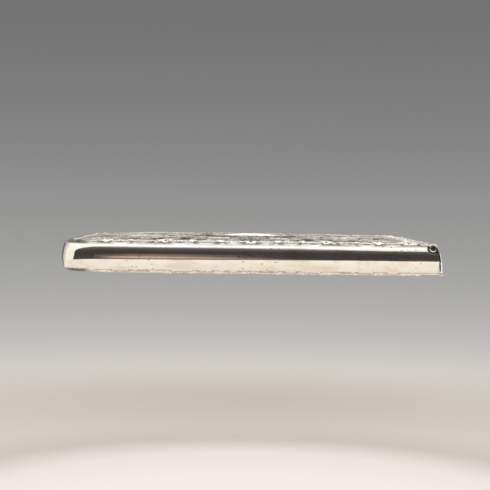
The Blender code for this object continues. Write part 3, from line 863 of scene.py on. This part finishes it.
struck_silver = silver("struck_silver", relief=True)
inner_silver = satin_silver("inner_silver", (0.86, 0.83, 0.77), (0.42, 0.37, 0.31))
for name, node, side in (("back_half", "back_shell", -1), ("front_half", "front_shell", 1)):
    shell = finished(name, half_shell(side), (struck_silver, inner_silver), 60)
    if side > 0:
        groove = rod((HINGE_X, 0, HINGE_Z), GROOVE_RADIUS, 3 * HALF_WIDTH, 96)
        cut_away(shell, finished("groove_tool", groove))
    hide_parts(node)
    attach(shell, "case")

# Mouth bezel
# A thin strip of silver soldered round the inside of the mouth. It stiffens the edge, and the lid's
# own strip slides against it. Its face is left as the solder left it.


def refinished(node, material):
    """Gives a CAD node a new finish."""
    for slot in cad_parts[node].material_slots:
        slot.material = material


refinished("mouth_bezel", inner_silver)

# Hinge bearer
# A hollow strip of thicker sheet, soldered into a groove across the front half. The tubes lie in it,
# and its near end shows as a bright arc beside the first tube.
BEARER_INNER = 0.00146
BEARER_OUTER = 0.00165
BEARER_HEAD_ANGLE = math.radians(149.0)
BEARER_FOOT_ANGLE = math.radians(303.0)
BEARER_ROUND = 0.00005
BEARER_STEPS = 24  # round the hollow


def rounded(bm, geom, radius, segments=3, affect="EDGES"):
    """Rounds edges or corners as polishing does."""
    bmesh.ops.bevel(
        bm,
        geom=geom,
        offset=radius,
        offset_type="OFFSET",
        segments=segments,
        profile=0.5,
        affect=affect,
        material=-1,
        clamp_overlap=True,
    )


def sharp_edges(bm, angle=math.radians(50)):
    return [e for e in bm.edges if e.is_manifold and e.calc_face_angle() > angle]


def strip_along(bm, inner, outer, length):
    """A flat strip along Y, between two distances from the hinge axis; returns its corners."""
    across = Matrix.Diagonal((outer - inner, length, 1, 1))
    matrix = Matrix.Translation(((inner + outer) / 2, 0, 0)) @ across
    return bmesh.ops.create_grid(bm, x_segments=1, y_segments=1, size=0.5, matrix=matrix)["verts"]


bearer_low, bearer_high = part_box("hinge_bearer")
bm = bmesh.new()
corners = strip_along(bm, BEARER_INNER, BEARER_OUTER, bearer_high.y - bearer_low.y)
bmesh.ops.rotate(bm, cent=(0, 0, 0), matrix=Matrix.Rotation(-BEARER_HEAD_ANGLE, 3, "Y"), verts=corners)
bmesh.ops.spin(
    bm,
    geom=bm.verts[:] + bm.edges[:],
    cent=(0, 0, 0),
    axis=(0, -1, 0),
    angle=BEARER_FOOT_ANGLE - BEARER_HEAD_ANGLE,
    steps=BEARER_STEPS,
    use_duplicate=False,
)
bmesh.ops.holes_fill(bm, edges=bm.edges, sides=4)
bmesh.ops.recalc_face_normals(bm, faces=bm.faces)
rounded(bm, sharp_edges(bm), BEARER_ROUND)
for f in bm.faces:
    if abs(f.calc_center_median().y) > bearer_high.y - 2 * BEARER_ROUND:
        f.material_index = 2  # the filed ends
    elif f.normal.dot(f.calc_center_median()) < -0.5 * BEARER_INNER:
        f.material_index = 1  # the hollow that faces the tubes
bmesh.ops.translate(bm, vec=(HINGE_X, 0, HINGE_Z), verts=bm.verts)
polished_silver = silver("polished_silver", scratches=0.8, pits=0.5)
# The bearer's hollow that faces the tubes gets a dark finish: painted shade inside the bearer, with some
# grime
hinge_shade_and_grime = satin_silver("hinge_shade_and_grime", (0.34, 0.31, 0.27), (0.13, 0.11, 0.09))
filed_silver = satin_silver("filed_silver", (0.93, 0.90, 0.85), (0.75, 0.70, 0.63))
bearer = finished("bearer", bm, (polished_silver, hinge_shade_and_grime, filed_silver))
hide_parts("hinge_bearer")
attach(bearer, "case")

# Hinge tubes
# Seven lengths of drawn silver tube on one pin, soldered in turn to the lid and to the bearer. The
# lid's four have a web of solder, filed flush, that runs down to the top of the lid's plate.
TUBE_RADIUS = 0.00115
BORE_RADIUS = 0.00065
TUBE_END_ROUND = 0.00034
BORE_END_ROUND = 0.0001
TUBE_SIDES = 72
WEB_TOP_ANGLE = math.radians(23.0)
WEB_FOOT_ANGLE = math.radians(-64.0)
WEB_TIP_OUTER = (0.00158, -0.00058)  # ahead of the hinge axis, and above it
WEB_TIP_INNER = (0.00147, -0.00058)
WEB_ROOT = 0.93 * TUBE_RADIUS  # sunk into the tube, so that the two read as one
WEB_STEPS = 8
WEB_SAG = 0.00006
WEB_ROUND = 0.00009


def spun_tube(bm, length):
    """A tube along Y from its rounded profile, with the bore's ends rounded less."""
    corners = strip_along(bm, BORE_RADIUS, TUBE_RADIUS, length)
    bmesh.ops.translate(bm, vec=(0, length / 2, 0), verts=corners)
    middle = (BORE_RADIUS + TUBE_RADIUS) / 2
    outer = [v for v in corners if v.co.x > middle]
    inner = [v for v in corners if v.co.x < middle]
    rounded(bm, outer, TUBE_END_ROUND, 4, "VERTICES")
    rounded(bm, inner, BORE_END_ROUND, 4, "VERTICES")
    bmesh.ops.delete(bm, geom=bm.faces[:], context="FACES_ONLY")
    bmesh.ops.spin(
        bm,
        geom=bm.verts[:] + bm.edges[:],
        cent=(0, 0, 0),
        axis=(0, 1, 0),
        angle=2 * math.pi,
        steps=TUBE_SIDES,
        use_merge=True,
    )


def solder_web(bm, length):
    """The web of solder from a lid's tube down to the lid's plate, with its outer edge rounded."""
    made = bmesh.ops.create_grid(bm, x_segments=1, y_segments=WEB_STEPS, size=0.5)
    inner, outer = made["verts"][0::2], made["verts"][1::2]
    for line, angle, tip in ((inner, WEB_FOOT_ANGLE, WEB_TIP_INNER), (outer, WEB_TOP_ANGLE, WEB_TIP_OUTER)):
        root = WEB_ROOT * math.cos(angle), WEB_ROOT * math.sin(angle)
        for i, v in enumerate(line):
            share = i / WEB_STEPS
            v.co = (root[0] + (tip[0] - root[0]) * share, 0, root[1] + (tip[1] - root[1]) * share)
            v.co *= 1 - WEB_SAG * math.sin(math.pi * share) / v.co.length
    front = {f for v in made["verts"] for f in v.link_faces}
    made = bmesh.ops.extrude_face_region(bm, geom=list(front), use_keep_orig=True)["geom"]
    moved = [v for v in made if isinstance(v, bmesh.types.BMVert)]
    bmesh.ops.translate(bm, vec=(0, length, 0), verts=moved)
    ridge = [e for e in bm.edges if e.verts[0] in outer and e.verts[1] in outer]
    rounded(bm, ridge, WEB_ROUND)


def tube(name, node, body):
    """One length of tube, of the CAD tube's length and in its place."""
    low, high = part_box(node)
    bm = bmesh.new()
    spun_tube(bm, high.y - low.y)
    if body == "lid":
        solder_web(bm, high.y - low.y)
    bmesh.ops.recalc_face_normals(bm, faces=bm.faces)
    bmesh.ops.translate(bm, vec=(HINGE_X, low.y, HINGE_Z), verts=bm.verts)
    piece = finished(name, bm, (polished_silver,))
    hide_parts(node)
    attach(piece, body)


for i in range(1, 5):
    tube(f"lid_tube_{i}", f"lid_knuckle_{i}", "lid")
for i in range(1, 4):
    tube(f"body_tube_{i}", f"body_knuckle_{i}", "case")

# Hinge pin
# A drawn silver wire through all seven tubes, cut a little short, so that the ends of the bore look
# dark. Its ends are left from the cutters, and its near-black finish is painted shade inside the bore,
# with some grime.
refinished("hinge_pin", satin_silver("pin_shade_and_grime", (0.10, 0.095, 0.08), (0.03, 0.028, 0.024)))

# Lid plate
# A flat plate cut to the shape of the mouth. Its outer face leans in to the tubes at the top, and its
# rim is rounded by polishing, so that it shows from the side as one bright line.
PLATE_TOP = 0.00062  # below the hinge axis
PLATE_TOP_THICKNESS = 0.00014
PLATE_THICKNESS = 0.0005
PLATE_TAPER = 0.0036
PLATE_PILLOW = 0.0012
PLATE_END_SHARE = 0.2
CLOSED_GAP = 0.00015
PLATE_ROWS = 26


def side_inset(height):
    """How far in from its outermost place the plain side lies at a height above its middle."""
    height = abs(height)
    if height < SIDE_RADIUS * math.sin(SIDE_END_ANGLE):
        return SIDE_RADIUS - math.sqrt(SIDE_RADIUS**2 - height**2)
    above = min(height - EDGE_CENTRE_HEIGHT, EDGE_RADIUS * math.sin(EDGE_END_ANGLE))
    return EDGE_CENTRE_INSET - math.sqrt(EDGE_RADIUS**2 - above**2)


plate_low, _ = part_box("lid_plate")
below = np.linspace(PLATE_TOP, HINGE_Z - plate_low.z, PLATE_ROWS + 1)[:, None]
grown = np.sin(np.minimum((below - PLATE_TOP) / PLATE_TAPER, 1) * math.pi / 2)
thickness = PLATE_TOP_THICKNESS + (PLATE_THICKNESS - PLATE_TOP_THICKNESS) * grown
half_width = HALF_WIDTH - np.array([[side_inset(HINGE_Z - depth - MIDDLE)] for depth in below[:, 0]])
turn = np.radians(np.linspace(0, 90, 8))
near_y = PLATE_PILLOW * (1 - np.cos(turn)) - half_width
across = np.concatenate([near_y, -near_y[:, ::-1]], axis=1)
thinned = PLATE_END_SHARE + (1 - PLATE_END_SHARE) * np.sin(turn)
thinned = np.concatenate([thinned, thinned[::-1]])[None, :]
inner_face = HINGE_X + MOUTH_AHEAD + math.tan(MOUTH_SLANT) * below + CLOSED_GAP
bm = bmesh.new()
for face in (inner_face + thickness * thinned, inner_face):
    grid_of(bm, np.stack(np.broadcast_arrays(face, across, HINGE_Z - below), axis=-1))
bmesh.ops.bridge_loops(bm, edges=[e for e in bm.edges if e.is_boundary])
bmesh.ops.recalc_face_normals(bm, faces=bm.faces)
plate = finished("plate", bm, (polished_silver,), 30)
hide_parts("lid_plate")
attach(plate, "lid")

# Thumb lip
# A round wire soldered along the free edge of the lid, just below the case, for a thumbnail to push.
# Its ends are rounded off.
LIP_ROUND = 0.00018

lip_low, lip_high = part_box("thumb_lip")
bm = rod((lip_low + lip_high) / 2, (lip_high.z - lip_low.z) / 2, lip_high.y - lip_low.y, 36)
rounded(bm, sharp_edges(bm), LIP_ROUND, 4)
lip = finished("lip", bm, (polished_silver,))
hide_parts("thumb_lip")
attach(lip, "lid")

# Lid flange
# A narrow strip soldered to the inside of the lid. It slips inside the bezel, and its spring is what
# holds the lid shut.
refinished("lid_flange", inner_silver)

# Stage: a pale floor, a grey backdrop and soft light from above and from both sides
# It is not part of the case. The case lies well above the floor, as on a stand. A dark gap towards
# the camera and the pale floor below it are what the polished side mirrors.
FLOOR_DEPTH = 0.0405
FLOOR_RADIUS = 6.0
PALE_FLOOR = 0.285  # reach of the part of the floor that the side mirrors as cream
CASE_ABOVE_FLOOR = FLOOR_DEPTH + MIDDLE
DARK_HALF_WIDTH = math.radians(75)
DARK_LOW = math.radians(-9)
DARK_HIGH = math.radians(35.5)

bm = bmesh.new()
bmesh.ops.create_circle(bm, cap_ends=True, segments=96, radius=FLOOR_RADIUS)
bmesh.ops.translate(bm, vec=(0, 0, -FLOOR_DEPTH), verts=bm.verts)
floor = finished("floor", bm)
floor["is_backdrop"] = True


def colour_steps(value, stops):
    """A colour ramp over a value that runs from 0 to 1; each stop is a place and a colour."""
    node = value.tree.nodes.new("ShaderNodeValToRGB")
    elements = node.color_ramp.elements
    while len(elements) < len(stops):
        elements.new(0.5)
    for element, (place, *colour) in zip(elements, stops):
        element.position = place
        element.color = (*colour, 1)
    return wired(node, {"Fac": value}, "Color")


def ramp_degrees(angle, low, high):
    return ramp(angle, math.radians(low), math.radians(high))


BESIDE_STOPS = (  # from the camera's side, over the sides, to the back
    (0.40, 1.06, 1.03, 0.96),
    (0.61, 1.02, 0.98, 0.91),
    (0.66, 0.76, 0.69, 0.65),
    (0.73, 0.64, 0.57, 0.53),
    (0.77, 0.11, 0.10, 0.10),
    (0.90, 0.30, 0.30, 0.30),
    (0.978, 0.30, 0.30, 0.30),
    (0.988, 1.15, 1.13, 1.10),
)
DARK_STOPS = (  # from the foot of the dark gap to its top
    (0.00, 0.070, 0.062, 0.062),
    (0.25, 0.056, 0.049, 0.049),
    (0.62, 0.056, 0.050, 0.050),
    (0.84, 0.100, 0.086, 0.091),
    (1.00, 0.190, 0.165, 0.175),
)
GLOW = (0.26, 0.175, 0.135)
GLOW_CORE = (0.62, 0.48, 0.41)


def surroundings():
    """What stands round the case near the horizon, by direction.

    Azimuth is counted from the camera's side, with the hinge's side positive. The warm glow in the
    dark gap has an azimuth of its own, because on the floor it is counted from farther back.
    """
    group, (azimuth, elevation, glow_azimuth), result = node_group(
        "surroundings", ("Azimuth", "Elevation", "Glow azimuth"), ("Color",), "NodeSocketColor"
    )
    turned = azimuth.math("ABSOLUTE")
    hinge_side = ramp(azimuth, 0.3, 1.2) * ramp(azimuth, 3.1, 2.7)
    beside = colour_steps(hinge_side * -0.30 + turned / math.pi, BESIDE_STOPS)
    lowered = ramp_degrees(turned, 8, 75) * 0.26 + ramp_degrees(azimuth, 3.5, 8) * 0.09
    tall = ramp(elevation, DARK_LOW, DARK_HIGH, "LINEAR") / (lowered * -1.0 + 1.0)
    glow = ramp_degrees(elevation * -0.05 + glow_azimuth, -5.95, -5.35)
    glow = glow * ramp_degrees(glow_azimuth, 2, -4) * ramp_degrees(elevation, 11, 6)
    core = glow * ramp_degrees(elevation, 1.5, -3) * ramp_degrees(elevation, -8, -5)
    gap = mixed(core, mixed(glow, colour_steps(tall, DARK_STOPS), GLOW), GLOW_CORE)
    wide = (turned / DARK_HALF_WIDTH).math("POWER", 5.0)
    outline = wide + tall.math("MAXIMUM", 0.0).math("POWER", 5.0)
    feed(result, {"Color": mixed(ramp(outline, 1.07, 0.93), beside, gap)})
    return group


SURROUNDINGS = surroundings()


def signed_azimuth(x, y):
    return x.math("ARCTAN2", y * -1.0)


def seen_around(azimuth, elevation, glow_azimuth):
    angles = {"Azimuth": azimuth, "Elevation": elevation, "Glow azimuth": glow_azimuth}
    return placed(azimuth.tree, SURROUNDINGS, angles)[0]


def axis_parts(vector):
    node = vector.tree.nodes.new("ShaderNodeSeparateXYZ")
    feed(node, {"Vector": vector})
    return [Value(output) for output in node.outputs]


def distance_from(place, centre_y):
    """How far a place is from a point on the Y axis."""
    node = place.tree.nodes.new("ShaderNodeVectorMath")
    node.operation = "DISTANCE"
    return wired(node, {0: place, 1: (0, centre_y, 0)}, "Value")


# The floor's tones paint a pool of light in front of the case that fades into the backdrop's grey, and a
# darker ring at 0.225 that is a painted soft shadow of the case, on top of the real shadow that the lit
# share keeps
LIGHT_POOL_Y = -0.12  # the middle of the pale pool on the floor
LIGHT_POOL_REACH = 0.3  # the distance from that middle at which the next stops are half run through
GLOW_FROM_Y = 0.311  # from here the floor counts the glow's azimuth
FLOOR_STOPS = (
    (0.15, 0.930, 0.865, 0.845),
    (0.19, 0.880, 0.820, 0.800),
    (0.225, 0.630, 0.585, 0.550),
    (0.265, 0.690, 0.640, 0.600),
    (0.345, 0.655, 0.608, 0.565),
    (0.435, 0.640, 0.612, 0.590),
    (0.525, 0.520, 0.518, 0.520),
    (0.615, 0.447, 0.445, 0.443),
    (0.70, 0.397, 0.397, 0.396),
    (0.815, 0.347, 0.347, 0.344),
    (0.94, 0.303, 0.303, 0.303),
)
MIRRORED_REACH = 0.3  # the distance from the middle of the case that the next stops count as 1
MIRRORED_STOPS = (
    (0.23, 0.89, 0.80, 0.70),
    (0.40, 0.93, 0.85, 0.75),
    (0.66, 0.99, 0.91, 0.82),
    (0.95, 1.04, 0.965, 0.875),
)
# a painted shadow of the case on the floor, seen only in the polished side
PAINTED_CASE_SHADOW = (0.50, 0.45, 0.41)
BLACK = (0.0, 0.0, 0.0)
FLOOR_LIT = 0.5  # of the tone to be seen, as the colour that the lamps light
FLOOR_OWN = 0.6  # of the same tone, as the floor's own light
material, tree, shader = new_material("floor_paper")
place = Value(tree.nodes.new("ShaderNodeTexCoord").outputs["Object"])
px, py, _ = axis_parts(place)
distance = distance_from(place, 0)
from_light_pool = distance_from(place, LIGHT_POOL_Y)
# the painted pool of light and painted shadow ring, as the camera sees the floor
seen = colour_steps(from_light_pool / (from_light_pool + LIGHT_POOL_REACH), FLOOR_STOPS)
azimuth = signed_azimuth(px, py)
below = distance.math("ARCTAN2", CASE_ABOVE_FLOOR) - math.pi / 2
far = seen_around(azimuth, below, signed_azimuth(px, py - GLOW_FROM_Y))

# What the polished side mirrors: a pale floor with a painted shadow of the case under the long sides,
# and what stands beyond it
aside = py.math("ABSOLUTE")
shade = ramp(aside, 0.044, 0.038) * ramp(aside, 0.020, 0.028) * ramp(px.math("ABSOLUTE"), 0.075, 0.055)
pale = mixed(shade, colour_steps(distance / MIRRORED_REACH, MIRRORED_STOPS), PAINTED_CASE_SHADOW)
reach = azimuth.math("MAXIMUM", -0.12).math("MINIMUM", 0.16) * -0.4 + distance
mirrored = mixed(ramp(reach, PALE_FLOOR - 0.015, PALE_FLOOR + 0.015), pale, far)
glossy = Value(tree.nodes.new("ShaderNodeLightPath").outputs["Is Glossy Ray"])
lit = mixed(glossy, mixed(FLOOR_LIT, BLACK, seen), BLACK)
own = mixed(glossy, mixed(FLOOR_OWN, BLACK, seen), mirrored)
feed(shader, {"Base Color": lit, "Roughness": 0.9, "Specular IOR Level": 0.0})
feed(shader, {"Emission Color": own, "Emission Strength": 1.0})
floor.data.materials.append(material)

# From the camera's side over the top to the back: a bright front lamp, a plain ceiling, a second lamp
SKY_STOPS = (
    (0.20, 1.35, 1.35, 1.35),
    (0.27, 1.35, 1.34, 1.33),
    (0.33, 0.95, 0.93, 0.91),
    (0.43, 0.84, 0.80, 0.77),
    (0.51, 0.46, 0.42, 0.39),
    (0.58, 0.30, 0.28, 0.26),
    (0.67, 0.22, 0.21, 0.20),
    (0.72, 0.45, 0.44, 0.43),
    (0.76, 1.35, 1.32, 1.27),
    (0.885, 1.35, 1.32, 1.25),
    (0.93, 0.44, 0.42, 0.385),
    (0.97, 0.34, 0.32, 0.295),
)
SIDE_LAMPS = (1.25, 1.23, 1.19)
BACKDROP_GREYS = (  # what the camera sees behind the case, from the horizon up
    (0.00, 0.298),
    (0.05, 0.271),
    (0.17, 0.235),
    (0.29, 0.209),
    (0.41, 0.188),
    (0.57, 0.168),
    (1.00, 0.150),
)
world = bpy.data.worlds.new("studio")
bpy.context.scene.world = world
world.use_nodes = True
tree = world.node_tree
dx, dy, dz = axis_parts(Value(tree.nodes.new("ShaderNodeTexCoord").outputs["Generated"]))
sky = colour_steps(dz.math("ARCTAN2", dy * -1.0) / math.pi, SKY_STOPS)
sky = mixed(ramp(dx.math("ABSOLUTE"), 0.42, 0.72), sky, SIDE_LAMPS)
azimuth = signed_azimuth(dx, dy)
elevation = dz.math("ARCSINE")
turned = azimuth.math("ABSOLUTE")
# The surroundings reach up to 9.5 degrees at the back, 27.5 at the sides and 39.5 in front
ring_height = ramp_degrees(turned, 150, 120) * math.radians(18) + math.radians(9.5)
in_front = ramp(turned, DARK_HALF_WIDTH + 0.1, DARK_HALF_WIDTH - 0.1)
ring_height = in_front * math.radians(12) + ring_height
low = ramp_degrees(ring_height - elevation, -1.5, 1.5)
studio = mixed(low, sky, seen_around(azimuth, elevation, azimuth))
shown = colour_steps(ramp(dz, 0.0, 0.25, "LINEAR"), [(place, *[grey] * 3) for place, grey in BACKDROP_GREYS])
to_camera = Value(tree.nodes.new("ShaderNodeLightPath").outputs["Is Camera Ray"])
feed(tree.nodes["Background"], {"Color": mixed(to_camera, studio, shown)})

# Camera, as the photograph was taken: a long lens just above the case, looking down a little
CAMERA_PLACE = (-0.0023, -0.3843, MIDDLE + 0.01556)
CAMERA_PITCH = -0.0351
CAMERA_YAW = 0.00215
CAMERA_ROLL = 0.0121
CAMERA_LENS = 98.8
data = bpy.data.cameras.new("camera")
data.sensor_width = 36.0
data.lens = CAMERA_LENS
data.clip_start = 0.01
data.clip_end = 20.0
camera = bpy.data.objects.new("camera", data)
bpy.context.scene.collection.objects.link(camera)
camera.matrix_world = (
    Matrix.Translation(CAMERA_PLACE)
    @ Matrix.Rotation(-CAMERA_YAW, 4, "Z")
    @ Matrix.Rotation(math.pi / 2 + CAMERA_PITCH, 4, "X")
    @ Matrix.Rotation(CAMERA_ROLL, 4, "Z")
)
bpy.context.scene.camera = camera
bpy.context.scene.view_settings.view_transform = "Standard"

low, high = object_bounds()
